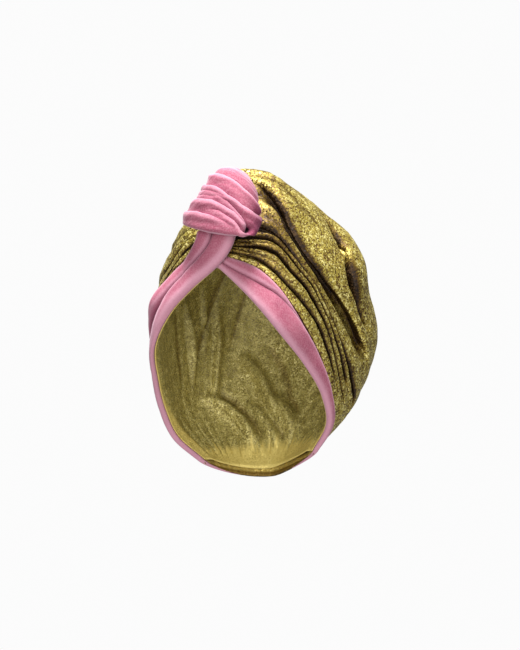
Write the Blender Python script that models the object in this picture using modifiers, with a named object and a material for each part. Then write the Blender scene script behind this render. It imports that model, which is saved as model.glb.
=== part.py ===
"""A worn turban: a pleated gold lamé crown, its lining, a pink velvet knot and face bands.

The head's forehead looks along -Y, the wearer's left is +X, and the origin is the point
inside the lining where the top of the head sits.
"""

import bpy
import bmesh
import numpy as np

# The tables and sizes below are millimetres, and the meshes are metres.
MM = 0.001

# Walls of the cloths, and the gap between two pieces that are sewn together.
CLOTH_WALL = 1.6
LINING_WALL = 1.2
SEAM_GAP = 0.35
SHARP_ANGLE = 60.0

# The plain form of the crown. Each row is a section that runs as an arch from the left
# edge of the opening over the head to the right edge: t places it between the knot (0)
# and the nape (1), rim is where the arch meets the opening on either side, top its
# middle, and left and right are how far its two sides swell.
ARCH_POINTS = 241
FORM_COLUMNS = ("t", "rim_left", "rim_right", "rim_y", "rim_z", "top_x", "top_y", "top_z",
                "left", "right")
FORM = (
    (0.00, 10, 8, -90, -81, 14, -82, -3, 2, 2),
    (0.12, 26, -16, -87, -97, 20, -60, 10, 25, 20),
    (0.26, 40, -38, -80, -113, 19, -32, 14, 44, 33),
    (0.42, 55, -60, -61, -135, 14, 10, 5, 63, 46),
    (0.58, 65, -71, -29, -154, 10, 60, -21, 70, 46),
    (0.74, 70, -76, 2, -174, 8, 94, -72, 62, 38),
    (0.88, 66, -73, 25, -195, 2, 93, -146, 42, 26),
    (1.00, 52, -59, 38, -213, -3, 74, -223, -10, -10),
)

# The folds of the crown, from the left band over the top to the right band. creases
# places the low side of each fold as a share of the arch at seven sections, and puffs is
# how far it stands off the plain form at five. lean is how far the fold rolls over its
# crease, over is 1 where it rolls towards the left and -1 where it rolls towards the
# right, and steps is how many strips of cloth it has.
CREASE_SECTIONS = (0.04, 0.15, 0.30, 0.45, 0.60, 0.80, 0.97)
PUFF_SECTIONS = (0.02, 0.11, 0.30, 0.65, 0.97)
FOLD_COLUMNS = ("creases", "puffs", "lean", "over", "steps")
FOLDS = (
    ((0.072, 0.080, 0.071, 0.053, 0.038, 0.024, 0.030), (0.5, 2.0, 2.5, 1.5, 1.0), 0.0, 1, 3),
    ((0.100, 0.107, 0.090, 0.078, 0.050, 0.037, 0.060), (1.0, 3.0, 3.5, 2.5, 1.5), 1.0, 1, 4),
    ((0.135, 0.140, 0.112, 0.094, 0.071, 0.058, 0.110), (1.0, 3.5, 4.0, 3.5, 1.5), 1.2, 1, 4),
    ((0.170, 0.174, 0.133, 0.110, 0.091, 0.084, 0.170), (1.0, 4.0, 4.0, 4.5, 2.0), 1.2, 1, 4),
    ((0.240, 0.212, 0.156, 0.125, 0.106, 0.116, 0.240), (1.5, 7.5, 7.0, 0.5, 2.0), 2.5, 1, 4),
    ((0.440, 0.330, 0.182, 0.143, 0.138, 0.160, 0.320), (2.0, 10, 13, 12, 2.5), 6.0, 1, 6),
    ((0.540, 0.470, 0.345, 0.245, 0.190, 0.215, 0.400), (2.0, 8, 9, 13, 2.5), 5.0, 1, 6),
    ((0.600, 0.560, 0.470, 0.360, 0.290, 0.295, 0.470), (2.0, 8, 9, 10, 2.5), 3.5, 1, 6),
    ((0.660, 0.640, 0.580, 0.500, 0.420, 0.400, 0.530), (2.0, 7, 8, 10, 2.5), 0.0, 1, 5),
    ((0.700, 0.705, 0.680, 0.620, 0.550, 0.510, 0.590), (2.0, 8, 9, 9, 2.5), 2.5, -1, 5),
    ((0.735, 0.760, 0.760, 0.720, 0.665, 0.620, 0.650), (1.5, 7, 8, 9, 2.5), 2.5, -1, 5),
    ((0.765, 0.805, 0.820, 0.800, 0.765, 0.715, 0.710), (1.5, 5, 6, 7, 2.0), 2.0, -1, 4),
    ((0.790, 0.835, 0.855, 0.860, 0.840, 0.800, 0.775), (1.0, 4, 4.5, 5, 2.0), 1.5, -1, 4),
    ((0.810, 0.857, 0.885, 0.905, 0.905, 0.880, 0.840), (1.0, 2.5, 3.5, 3.5, 1.5), 1.0, -1, 4),
    ((0.835, 0.875, 0.910, 0.940, 0.960, 0.975, 0.970), (0.5, 1, 1, 1, 1), 0.0, 1, 0),
)
# How the strips crowd towards the crease, how close to it the fold's crest lies, and how
# round that crest is: powers, where 1 is even, midway and a plain arch.
FOLD_CROWD = 1.5
FOLD_CREST = 0.6
FOLD_ROUND = 0.7
CROWN_SPAN = (0.015, 0.97)
CROWN_ROWS = 25

# The lining hangs inside the crown from seams behind the bands, in soft folds.
LINING_SPAN = (0.035, 0.965)
LINING_ROWS = 18
LINING_COLUMNS = 26
LINING_EDGE = 5.0
LINING_DEPTH = 3.6
LINING_REACH = 8.0
LINING_FOLD = 3.0
LINING_FOLDS = 6.5
LINING_DRIFT = 0.8

# The section of a face band, from its outer edge round the front to the opening's edge
# and back: share of its width, and height over the plain form, in parts of its thickness
# in front and in parts of BAND_BACK behind.
BAND_SPAN = (0.01, 0.966)
BAND_BACK = 2.0
BAND_SECTION = (
    (1.00, -0.20),
    (0.97, 0.45),
    (0.80, 0.90),
    (0.63, 0.72),
    (0.55, 0.30),
    (0.46, 0.80),
    (0.26, 1.00),
    (0.07, 0.80),
    (-0.06, 0.25),
    (-0.05, -0.50),
    (0.10, -1.00),
    (0.50, -1.00),
    (0.90, -1.00),
)
# Thickness of each band at four sections, from the knot to the nape.
BAND_SECTIONS = (0.0, 0.22, 0.45, 1.0)
BAND_LEFT_THICKNESS = (3.4, 4.2, 4.4, 4.0)
BAND_RIGHT_THICKNESS = (4.4, 7.5, 5.0, 4.0)

# The right band crosses over the left one and runs on up to the knot. Its inner and
# outer edges end at these points, and it is lifted and lowered over the opening there.
CROSSING_INNER = (27.0, -98.0, -60.0)
CROSSING_OUTER = (2.0, -98.0, -55.5)
CROSSING_OUT = (0.0, -0.98, 0.20)
CROSSING_BACK = 1.0
CROSSING_STEPS = 5
CROSSING_LIFT = 5.5
CROSSING_DIP = 4.5
CROSSING_FROM = 0.14

# The knot: cloth wound round the gathers from one side to the other, flat at the back.
# Each row is a section round it: turn is its angle from straight ahead, reach how far it
# stands out, half_height its size and drop how far its middle sinks towards the tuck.
KNOT_CENTRE = (16.5, -90.5, -28.5)
KNOT_TILT = 15.0
KNOT_SLOPE = 12.0
KNOT_LEAN = 0.33
KNOT_CORE = 2.0
KNOT_COLUMNS = ("turn", "reach", "half_height", "drop")
KNOT = (
    (-90, 31.0, 26.0, 0.0),
    (-65, 32.0, 28.0, 0.0),
    (-35, 31.5, 29.0, 0.0),
    (-5, 31.0, 29.0, 0.0),
    (25, 32.0, 28.5, 0.5),
    (50, 35.0, 26.0, 3.0),
    (72, 38.0, 22.5, 7.0),
    (90, 38.0, 18.0, 12.0),
)
KNOT_STATIONS = 20
# Creases between the knot's lobes as shares of its height, points on each lobe, how boxy
# the section is, and how deep and how sharp the creases are.
KNOT_LOBES = (0.0, 0.20, 0.36, 0.47, 0.60, 0.77, 1.0)
KNOT_LOBE_POINTS = (0.0, 0.2, 0.5, 0.8)
KNOT_BACK_POINTS = 4
KNOT_BOX = 0.62
KNOT_CREASE = 3.2
KNOT_SHARPNESS = 0.6

# The nape casing: a flat roll of cloth gathered on its elastic.
CASING_COLUMNS = 37
CASING_POINTS = 10
CASING_FRONT = 1.4
CASING_BACK = 3.2
CASING_SQUARENESS = 0.5
CASING_GATHERS = 12
CASING_GATHER = 0.22

GOLD = (0.46, 0.36, 0.09, 1.0)
OLIVE = (0.25, 0.20, 0.06, 1.0)
PINK = (0.70, 0.24, 0.38, 1.0)


def smooth(places, values, t):
    """A smooth curve through values at places, read at t."""
    places = np.asarray(places, float)
    values = np.asarray(values, float)
    span = np.diff(places)
    slope = np.diff(values) / span
    tangent = np.empty_like(values)
    tangent[0] = slope[0]
    tangent[-1] = slope[-1]
    tangent[1:-1] = (slope[:-1] * span[1:] + slope[1:] * span[:-1]) / (places[2:] - places[:-2])
    i = np.clip(np.searchsorted(places, t, side="right") - 1, 0, len(span) - 1)
    h = span[i]
    s = (t - places[i]) / h
    return (
        (2 * s**3 - 3 * s**2 + 1) * values[i]
        + (s**3 - 2 * s**2 + s) * h * tangent[i]
        + (3 * s**2 - 2 * s**3) * values[i + 1]
        + (s**3 - s**2) * h * tangent[i + 1]
    )


def unit(vectors):
    """The same directions at length 1."""
    return vectors / np.linalg.norm(vectors, axis=-1, keepdims=True)


def columns(names, rows):
    """A table's columns by name."""
    return {name: [row[i] for row in rows] for i, name in enumerate(names)}


def arch(t):
    """Points along the arch of section t, and the length of cloth up to each."""
    table = columns(FORM_COLUMNS, FORM)
    form = {name: smooth(table["t"], table[name], t) for name in FORM_COLUMNS[1:]}
    turn = np.linspace(0, np.pi, ARCH_POINTS)
    out, up = np.cos(turn), np.sin(turn)
    edge = np.where(out > 0, form["rim_left"], -form["rim_right"])
    swell = np.where(out > 0, form["left"], form["right"])
    points = np.stack([
        (edge + swell * up) * out + form["top_x"] * up,
        form["rim_y"] + (form["top_y"] - form["rim_y"]) * up,
        form["rim_z"] + (form["top_z"] - form["rim_z"]) * up,
    ], axis=-1)
    steps = np.linalg.norm(np.diff(points, axis=0), axis=1)
    return points, np.concatenate([[0.0], np.cumsum(steps)])


def on_arch(t, shares):
    """Points of the plain form at section t and the given shares of its arch."""
    points, run = arch(t)
    return np.stack([np.interp(shares * run[-1], run, points[:, k]) for k in range(3)], axis=-1)


def cloth_points(t, shares, height, slip=0.0):
    """Points standing off the plain form by height, and slipped along the arch by slip."""
    shares = np.asarray(shares, float)
    inside = np.clip(shares, 0.0, 1.0)
    base = on_arch(t, inside)
    reach = 0.006
    across = unit(on_arch(t, inside + reach) - on_arch(t, inside - reach))
    before, after = max(t - reach, 0.0), min(t + reach, 1.0)
    along = unit(on_arch(after, inside) - on_arch(before, inside))
    out = unit(np.cross(along, across))
    length = arch(t)[1][-1]
    run = ((shares - inside) * length + slip)[..., None]
    return base + out * np.asarray(height, float)[..., None] + across * run


def fold_table(column, sections, t):
    """The creases or the puffs of all folds, read at section t."""
    t = np.clip(t, sections[0], sections[-1])
    rows = columns(FOLD_COLUMNS, FOLDS)[column]
    return np.array([smooth(sections, row, t) for row in rows])


def crown_row(t):
    """The crown's cloth across section t, fold by fold."""
    folds = columns(FOLD_COLUMNS, FOLDS)
    creases = fold_table("creases", CREASE_SECTIONS, t)
    puffs = fold_table("puffs", PUFF_SECTIONS, t)
    shares, heights, slips = [], [], []
    for i, steps in enumerate(folds["steps"][:-1]):
        over = folds["over"][i]
        u = np.arange(steps) / steps
        across = u**FOLD_CROWD if over > 0 else 1 - (1 - u)**FOLD_CROWD
        from_crease = across if over > 0 else 1 - across
        rise = np.sin(np.pi * from_crease**FOLD_CREST).clip(0)**FOLD_ROUND
        shares.append(creases[i] + (creases[i + 1] - creases[i]) * across)
        heights.append(puffs[i] * rise)
        slips.append(-over * folds["lean"][i] * rise * (1 - from_crease)**FOLD_CROWD)
    shares.append(creases[-1:])
    heights.append([0.0])
    slips.append([0.0])
    return cloth_points(t, np.concatenate(shares), np.concatenate(heights), np.concatenate(slips))


def lining_row(t):
    """The lining across section t, with soft folds that run from knot to nape."""
    length = arch(t)[1][-1]
    shares = np.linspace(LINING_EDGE / length, 1 - LINING_EDGE / length, LINING_COLUMNS)
    fold = 0.5 + 0.5 * np.sin(2 * np.pi * (LINING_FOLDS * shares + LINING_DRIFT * t))
    from_edge = (np.minimum(shares, 1 - shares) * length - LINING_EDGE) / LINING_REACH
    hang = np.clip(from_edge, 0, 1)
    seam = BAND_BACK + SEAM_GAP
    depth = seam + (LINING_DEPTH - seam + LINING_FOLD * fold * np.sin(np.pi * t)) * hang
    return cloth_points(t, shares, -depth)


def band_loop(t, side):
    """The closed section of a face band at t: the left one if side is 1, right if -1."""
    length = arch(t)[1][-1]
    edge = fold_table("creases", CREASE_SECTIONS, t)[0 if side > 0 else -1]
    width = (edge if side > 0 else 1 - edge) * length - SEAM_GAP
    section = np.array(BAND_SECTION)
    places = section[:, 0] * width
    front = section[:, 1].clip(0)
    back = section[:, 1].clip(None, 0) * BAND_BACK
    if side > 0:
        heights = front * smooth(BAND_SECTIONS, BAND_LEFT_THICKNESS, t) + back
        return cloth_points(t, places / length, heights)
    rising = max(CROSSING_FROM - t, 0.0) / CROSSING_FROM
    heights = front * smooth(BAND_SECTIONS, BAND_RIGHT_THICKNESS, t) + back
    places -= CROSSING_DIP * rising
    return cloth_points(t, 1 - places / length, heights + CROSSING_LIFT * rising**2)


def crossing_loops(first):
    """The right band from its first section on to the knot."""
    inner, outer = np.array(CROSSING_INNER), np.array(CROSSING_OUTER)
    section = np.array(BAND_SECTION)
    front = section[:, 1].clip(0) * BAND_RIGHT_THICKNESS[0]
    back = section[:, 1].clip(None, 0) * CROSSING_BACK
    heights = front + back
    last = inner + (outer - inner) * section[:, :1] + np.array(CROSSING_OUT) * heights[:, None]
    shares = np.linspace(1, 0, CROSSING_STEPS, endpoint=False)
    return [first + (last - first) * share for share in shares]


def casing_loop(share):
    """The closed section of the nape casing at a share of the last arch."""
    top, bottom = CROWN_SPAN[1], 1.0
    fall = np.linalg.norm(on_arch(bottom, share) - on_arch(top, share))
    top += (bottom - top) * SEAM_GAP / fall
    middle = (CASING_FRONT - CASING_BACK) / 2
    half = (CASING_FRONT + CASING_BACK) / 2
    half *= 1 + CASING_GATHER * np.sin(2 * np.pi * CASING_GATHERS * share)
    turn = np.linspace(0, 2 * np.pi, CASING_POINTS, endpoint=False)
    places = (1 - np.cos(turn)) / 2
    heights = middle + half * np.sign(np.sin(turn)) * np.abs(np.sin(turn))**CASING_SQUARENESS
    return np.array([
        cloth_points(top + (bottom - top) * place, share, height)
        for place, height in zip(places, heights)
    ])


def knot_loop(station):
    """The closed section of the knot at a station from 0, its left side, to 1, its tuck."""
    rows = columns(KNOT_COLUMNS, KNOT)
    places = np.linspace(0, 1, len(KNOT))
    turn, reach, half_height, drop = (smooth(places, rows[name], station)
                                      for name in KNOT_COLUMNS)
    turn = np.radians(turn)
    tilt, slope = np.radians(KNOT_TILT), np.radians(KNOT_SLOPE)
    out = np.array([0.0, -np.cos(tilt), np.sin(tilt)])
    rise = np.array([0.0, np.sin(tilt), np.cos(tilt)])
    along = np.array([np.cos(slope), 0.0, 0.0]) - rise * np.sin(slope)
    up = np.array([np.sin(slope), 0.0, 0.0]) + rise * np.cos(slope) + along * KNOT_LEAN
    radial = along * np.sin(turn) + out * np.cos(turn)
    middle = np.array(KNOT_CENTRE) - up * drop
    loop = []
    for start, stop in zip(KNOT_LOBES[:-1], KNOT_LOBES[1:]):
        for place in KNOT_LOBE_POINTS:
            angle = np.pi * (start + (stop - start) * place)
            dent = KNOT_CREASE * (1 - np.sin(np.pi * place)**KNOT_SHARPNESS) / reach
            width = KNOT_CORE + (reach - KNOT_CORE) * np.sin(angle)**KNOT_BOX
            shrink = 1 - dent * np.sin(angle)
            height = half_height * np.cos(angle)
            loop.append(middle + (up * height + radial * width) * shrink)
    for height in np.linspace(-half_height, half_height, KNOT_BACK_POINTS, endpoint=False):
        loop.append(middle + up * height + radial * KNOT_CORE)
    return np.array(loop)


def plain_material(name, colour, roughness, metallic):
    """A Principled material of one colour."""
    material = bpy.data.materials.new(name)
    material.use_nodes = True
    shader = material.node_tree.nodes["Principled BSDF"]
    shader.inputs["Base Color"].default_value = colour
    shader.inputs["Roughness"].default_value = roughness
    shader.inputs["Metallic"].default_value = metallic
    return material


def add_piece(name, bm, material, collection):
    """A named object from a bmesh, smooth but for its sharp creases."""
    mesh = bpy.data.meshes.new(name)
    bm.to_mesh(mesh)
    bm.free()
    mesh.shade_smooth()
    mesh.set_sharp_from_angle(angle=np.radians(SHARP_ANGLE))
    mesh.materials.append(material)
    piece = bpy.data.objects.new(name, mesh)
    collection.objects.link(piece)
    return piece


def sheet(name, rows, wall, material, collection):
    """A cloth wall: a grid laid on a table of points, thickened inwards."""
    points = np.array(rows)
    last_row, last_column = points.shape[0] - 1, points.shape[1] - 1
    bm = bmesh.new()
    bmesh.ops.create_grid(bm, x_segments=last_column, y_segments=last_row, size=1.0)
    for vertex in bm.verts:
        column = round((vertex.co.x + 1) / 2 * last_column)
        row = round((vertex.co.y + 1) / 2 * last_row)
        vertex.co = points[row, column] * MM
    bmesh.ops.reverse_faces(bm, faces=bm.faces)
    piece = add_piece(name, bm, material, collection)
    solidify = piece.modifiers.new("wall", "SOLIDIFY")
    solidify.thickness = wall * MM
    solidify.offset = -1.0


def roll(name, loops, material, collection):
    """A closed roll of cloth: a loft through closed sections, capped at both ends."""
    bm = bmesh.new()
    rings = [[bm.verts.new(point * MM) for point in loop] for loop in loops]
    for ring, following in zip(rings[:-1], rings[1:]):
        for i in range(len(ring)):
            j = (i + 1) % len(ring)
            bm.faces.new((ring[i], ring[j], following[j], following[i]))
    bm.faces.new(rings[0])
    bm.faces.new(rings[-1])
    bmesh.ops.recalc_face_normals(bm, faces=bm.faces)
    add_piece(name, bm, material, collection)


def main():
    """The turban, piece by piece."""
    for old in list(bpy.data.objects):
        bpy.data.objects.remove(old)
    turban = bpy.data.collections.new("turban")
    bpy.context.scene.collection.children.link(turban)

    gold = plain_material("gold_lame", GOLD, 0.42, 0.7)
    olive = plain_material("lining_lame", OLIVE, 0.55, 0.4)
    pink = plain_material("pink_velvet", PINK, 0.85, 0.0)

    crown_sections = np.linspace(*CROWN_SPAN, CROWN_ROWS)
    sheet("crown", [crown_row(t) for t in crown_sections], CLOTH_WALL, gold, turban)

    lining_sections = np.linspace(*LINING_SPAN, LINING_ROWS)
    sheet("lining", [lining_row(t) for t in lining_sections], LINING_WALL, olive, turban)

    band_sections = [BAND_SPAN[0], *crown_sections[:-1], BAND_SPAN[1]]
    roll("band_left", [band_loop(t, 1) for t in band_sections], pink, turban)

    right = [band_loop(t, -1) for t in band_sections]
    roll("band_right", crossing_loops(right[0]) + right, pink, turban)

    roll("knot", [knot_loop(s) for s in np.linspace(0, 1, KNOT_STATIONS)], pink, turban)

    casing_shares = np.linspace(0, 1, CASING_COLUMNS)
    roll("nape_casing", [casing_loop(share) for share in casing_shares], gold, turban)


main()
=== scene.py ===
"""A worn turban, dressed: pleated gold lamé crown, muted lining, pink velvet bands and knot.

The forehead looks along -Y, the wearer's left is +X, and the origin is the point inside
the lining where the top of the head sits.
"""

from functools import lru_cache

import bmesh
import bpy
import numpy as np
from mathutils import Matrix, Vector, noise


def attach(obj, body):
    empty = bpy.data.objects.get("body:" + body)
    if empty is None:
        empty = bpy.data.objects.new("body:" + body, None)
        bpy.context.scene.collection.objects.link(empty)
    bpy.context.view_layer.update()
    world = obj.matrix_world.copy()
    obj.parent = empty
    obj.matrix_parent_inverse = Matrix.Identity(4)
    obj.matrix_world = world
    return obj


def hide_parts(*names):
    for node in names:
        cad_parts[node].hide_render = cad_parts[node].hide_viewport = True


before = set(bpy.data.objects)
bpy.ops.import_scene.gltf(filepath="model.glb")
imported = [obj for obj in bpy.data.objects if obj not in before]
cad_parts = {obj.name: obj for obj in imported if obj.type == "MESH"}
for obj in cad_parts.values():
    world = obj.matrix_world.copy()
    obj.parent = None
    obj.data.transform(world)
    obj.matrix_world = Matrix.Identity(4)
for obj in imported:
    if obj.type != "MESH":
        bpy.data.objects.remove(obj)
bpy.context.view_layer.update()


# The lining: a thin cap of the same lamé with its wrong side showing, so the foil is muted.
# It is cut as a strip, hangs in soft folds from seams behind the bands, and is bagged out
# into the nape casing.

# The tables and sizes of the cloths are millimetres, and the meshes are metres.
MM = 0.001

# The plain form. Each row is a section that runs as an arch from the left edge of the
# opening over the head to the right edge: t places it between the knot (0) and the nape
# (1), rim is where the arch meets the opening, top its middle, left and right its swell.
ARCH_POINTS = 241
FORM_COLUMNS = ("t", "rim_left", "rim_right", "rim_y", "rim_z", "top_x", "top_y", "top_z",
                "left", "right")
FORM = (
    (0.00, 10, 8, -90, -81, 14, -82, -3, 2, 2),
    (0.12, 26, -16, -87, -97, 20, -60, 10, 25, 20),
    (0.26, 40, -38, -80, -113, 19, -32, 14, 44, 30),
    (0.42, 55, -60, -61, -135, 14, 10, 5, 63, 46),
    (0.58, 65, -71, -29, -154, 10, 60, -21, 70, 46),
    (0.74, 70, -76.5, 2, -174, 8, 94, -72, 63, 37),
    (0.88, 66, -72.5, 25, -194, 2, 93, -146, 35.5, 26),
    (1.00, 50, -52.5, 38, -213, -3, 74, -222, -28.5, -12),
)


def smooth(places, values, t):
    """A smooth curve through values at places, read at t."""
    places = np.asarray(places, float)
    values = np.asarray(values, float)
    span = np.diff(places)
    slope = np.diff(values) / span
    tangent = np.empty_like(values)
    tangent[0] = slope[0]
    tangent[-1] = slope[-1]
    tangent[1:-1] = (slope[:-1] * span[1:] + slope[1:] * span[:-1]) / (places[2:] - places[:-2])
    i = np.clip(np.searchsorted(places, t, side="right") - 1, 0, len(span) - 1)
    h = span[i]
    s = (t - places[i]) / h
    return (
        (2 * s**3 - 3 * s**2 + 1) * values[i]
        + (s**3 - 2 * s**2 + s) * h * tangent[i]
        + (3 * s**2 - 2 * s**3) * values[i + 1]
        + (s**3 - s**2) * h * tangent[i + 1]
    )


def ease(low, high, values):
    """0 below low, 1 above high, and a soft step between them."""
    s = np.clip((np.asarray(values, float) - low) / (high - low), 0, 1)
    return s * s * (3 - 2 * s)


def unit(vectors):
    """The same directions at length 1."""
    return vectors / np.linalg.norm(vectors, axis=-1, keepdims=True)


def columns(names, rows):
    """A table's columns by name."""
    return {name: [row[i] for row in rows] for i, name in enumerate(names)}


@lru_cache(maxsize=None)
def arch(t):
    """Points along the arch of section t, and the length of cloth up to each."""
    table = columns(FORM_COLUMNS, FORM)
    form = {name: smooth(table["t"], table[name], t) for name in FORM_COLUMNS[1:]}
    turn = np.linspace(0, np.pi, ARCH_POINTS)
    out, up = np.cos(turn), np.sin(turn)
    edge = np.where(out > 0, form["rim_left"], -form["rim_right"])
    swell = np.where(out > 0, form["left"], form["right"])
    points = np.stack([
        (edge + swell * up) * out + form["top_x"] * up,
        form["rim_y"] + (form["top_y"] - form["rim_y"]) * up,
        form["rim_z"] + (form["top_z"] - form["rim_z"]) * up,
    ], axis=-1)
    steps = np.linalg.norm(np.diff(points, axis=0), axis=1)
    return points, np.concatenate([[0.0], np.cumsum(steps)])


def on_arch(t, shares):
    """Points of the plain form at section t and the given shares of its arch."""
    points, run = arch(float(t))
    return np.stack([np.interp(shares * run[-1], run, points[:, k]) for k in range(3)], axis=-1)


def cloth_points(t, shares, height, slip=0.0):
    """Points standing off the plain form by height, and slipped along the arch by slip."""
    shares = np.asarray(shares, float)
    inside = np.clip(shares, 0.0, 1.0)
    base = on_arch(t, inside)
    reach = 0.006
    across = unit(on_arch(t, inside + reach) - on_arch(t, inside - reach))
    before, after = max(t - reach, 0.0), min(t + reach, 1.0)
    along = unit(on_arch(after, inside) - on_arch(before, inside))
    out = unit(np.cross(along, across))
    run = ((shares - inside) * arch(float(t))[1][-1] + slip)[..., None]
    return base + out * np.asarray(height, float)[..., None] + across * run


def wrinkles(across, along, table):
    """Smooth random lumps added up: each row has a height, the size across and along, a seed."""
    total = np.zeros(across.shape)
    for height, size, seed in table:
        spots = np.stack(np.broadcast_arrays(across / size[0], along / size[1], seed), axis=-1)
        lumps = [noise.noise(spot) for spot in spots.reshape(-1, 3)]
        total += height * np.reshape(lumps, across.shape)
    return total


def strokes(t, shares, table):
    """Heights of single folds at section t, each a line that is softer on one side of its way."""
    total = np.zeros(shares.shape)
    cloth = np.stack(np.broadcast_arrays(t * FORM_RUN, shares * FORM_GIRTH), axis=-1)
    for t_from, share_from, t_to, share_to, width, height in table:
        start = np.array([t_from * FORM_RUN, share_from * FORM_GIRTH])
        way = np.array([t_to * FORM_RUN, share_to * FORM_GIRTH]) - start
        place = np.clip((cloth - start) @ way / (way @ way), 0, 1)
        off = cloth - start - place[..., None] * way
        sharp = way[0] * off[..., 1] < way[1] * off[..., 0]
        aside = np.linalg.norm(off, axis=-1) / (width * np.where(sharp, SHARP_SIDE, 1.0))
        fade = np.sin(np.pi * np.clip(place, 0.04, 0.96))**0.5
        total += height * fade * np.exp(-aside**2)
    return total


def new_piece(name, points, faces, marks):
    """A smooth mesh on points in millimetres, which carries its marks at every point."""
    mesh = bpy.data.meshes.new(name)
    mesh.from_pydata((points.reshape(-1, 3) * MM).tolist(), [], faces)
    for mark, values in marks.items():
        attribute = mesh.attributes.new(mark, "FLOAT", "POINT")
        attribute.data.foreach_set("value", np.array(values, np.float32).reshape(-1))
    mesh.shade_smooth()
    piece = bpy.data.objects.new(name, mesh)
    bpy.context.scene.collection.objects.link(piece)
    return piece


def cloth_sheet(name, points, wall, marks):
    """A wall of cloth on rows of points, thickened inwards."""
    points = np.array(points)
    spot = np.arange(points[..., 0].size).reshape(points.shape[:2])
    faces = np.stack([spot[:-1, :-1], spot[1:, :-1], spot[1:, 1:], spot[:-1, 1:]], axis=-1)
    piece = new_piece(name, points, faces.reshape(-1, 4).tolist(), marks)
    thicken = piece.modifiers.new("wall", "SOLIDIFY")
    thicken.thickness = wall * MM
    thicken.offset = -1.0
    bpy.context.view_layer.objects.active = piece
    bpy.ops.object.modifier_apply(modifier=thicken.name)
    return piece


def feed(tree, node, inputs):
    """Links each of a node's inputs to a socket, or sets it to a value."""
    for socket, source in inputs.items():
        if isinstance(source, bpy.types.NodeSocket):
            tree.links.new(source, node.inputs[socket])
        else:
            node.inputs[socket].default_value = source


def add_node(tree, kind, inputs=(), **settings):
    """A shader node with its settings and its inputs."""
    node = tree.nodes.new(kind)
    for setting, value in settings.items():
        setattr(node, setting, value)
    feed(tree, node, dict(inputs))
    return node


def mix_colours(tree, share, first, second, blend="MIX"):
    """The colour between first and second at share, or first blended with second."""
    node = add_node(tree, "ShaderNodeMix", {0: share, 6: first, 7: second},
                    data_type="RGBA", blend_type=blend)
    return node.outputs[2]


def calculate(tree, operation, *values, kind="ShaderNodeMath"):
    """The result of an operation on values or sockets."""
    return add_node(tree, kind, dict(enumerate(values)), operation=operation).outputs[0]


def step_value(tree, value, low, high):
    """A soft step of a value, from 0 at low to 1 at high."""
    node = add_node(tree, "ShaderNodeMapRange", {0: value, 1: low, 2: high},
                    interpolation_type="SMOOTHSTEP")
    return node.outputs[0]


def flake_group():
    """Foil flakes: each flake has its own shade and tilt, and dark ones come in clumps."""
    group = bpy.data.node_groups.new("foil_flakes", "ShaderNodeTree")
    for name in ("Flakes per metre", "Dark share", "Bright share", "Tilt"):
        group.interface.new_socket(name, in_out="INPUT", socket_type="NodeSocketFloat")
    for name in ("Dark", "Middle", "Bright"):
        group.interface.new_socket(name, in_out="INPUT", socket_type="NodeSocketColor")
    for name, kind in (("Color", "NodeSocketColor"), ("Normal", "NodeSocketVector")):
        group.interface.new_socket(name, in_out="OUTPUT", socket_type=kind)
    given = group.nodes.new("NodeGroupInput").outputs
    place = add_node(group, "ShaderNodeTexCoord").outputs["Object"]
    flake = add_node(group, "ShaderNodeTexVoronoi",
                     {"Vector": place, "Scale": given["Flakes per metre"]}).outputs["Color"]
    clumps = add_node(group, "ShaderNodeTexNoise", {"Vector": place, "Scale": 150.0, "Detail": 2.0})
    drift = calculate(group, "MULTIPLY_ADD", clumps.outputs["Fac"], 0.9, -0.45)
    chance = add_node(group, "ShaderNodeSeparateColor", {"Color": flake}).outputs[0]
    shade = calculate(group, "ADD", chance, drift)
    dark_high = calculate(group, "ADD", given["Dark share"], 0.25)
    dark = step_value(group, shade, 0.05, dark_high)
    bright_low = calculate(group, "SUBTRACT", 1.0, given["Bright share"])
    bright = step_value(group, shade, bright_low, 1.05)
    colour = mix_colours(group, dark, given["Dark"], given["Middle"])
    colour = mix_colours(group, bright, colour, given["Bright"])
    normal = add_node(group, "ShaderNodeNewGeometry").outputs["Normal"]
    tilt = calculate(group, "SUBTRACT", flake, (0.5, 0.5, 0.5), kind="ShaderNodeVectorMath")
    tilt = calculate(group, "MULTIPLY", tilt, given["Tilt"], kind="ShaderNodeVectorMath")
    normal = calculate(group, "ADD", normal, tilt, kind="ShaderNodeVectorMath")
    normal = calculate(group, "NORMALIZE", normal, kind="ShaderNodeVectorMath")
    add_node(group, "NodeGroupOutput", {"Color": colour, "Normal": normal})
    return group


def new_material(name):
    """A material, its node tree and its Principled shader."""
    material = bpy.data.materials.new(name)
    material.use_nodes = True
    return material, material.node_tree, material.node_tree.nodes["Principled BSDF"]


def mark_value(tree, mark):
    """A number that the mesh carries at every point."""
    return add_node(tree, "ShaderNodeAttribute", attribute_name=mark).outputs["Fac"]


def new_lame(name, look, metallic, roughness):
    """Lamé of foil flakes with smooth satin where it is marked, its tree, shader and colour."""
    material, tree, shader = new_material(name)
    flakes = add_node(tree, "ShaderNodeGroup", look, node_tree=foil_flakes).outputs
    feed(tree, shader, {"Normal": flakes["Normal"], "Metallic": metallic, "Roughness": roughness})
    colour = mix_colours(tree, mark_value(tree, "satin"), flakes["Color"], SATIN_COLOUR)
    return material, tree, shader, colour


# Folds and wrinkles are laid out as if all sections were this far apart and this long.
FORM_RUN = 300.0
FORM_GIRTH = 420.0

LINING_WALL = 0.7
LINING_SPAN = (0.02, 0.992)
LINING_GRID = (170, 190)
# Its edges lie this far in from the opening's edge and this deep under the crown. It takes
# its reach to get to its full depth, and swells back from there by no more than its ease.
LINING_EDGE = 1.0
LINING_SEAM = 2.4
LINING_DEPTH = 3.8
LINING_REACH = 9.0
LINING_EASE = 1.6
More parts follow.
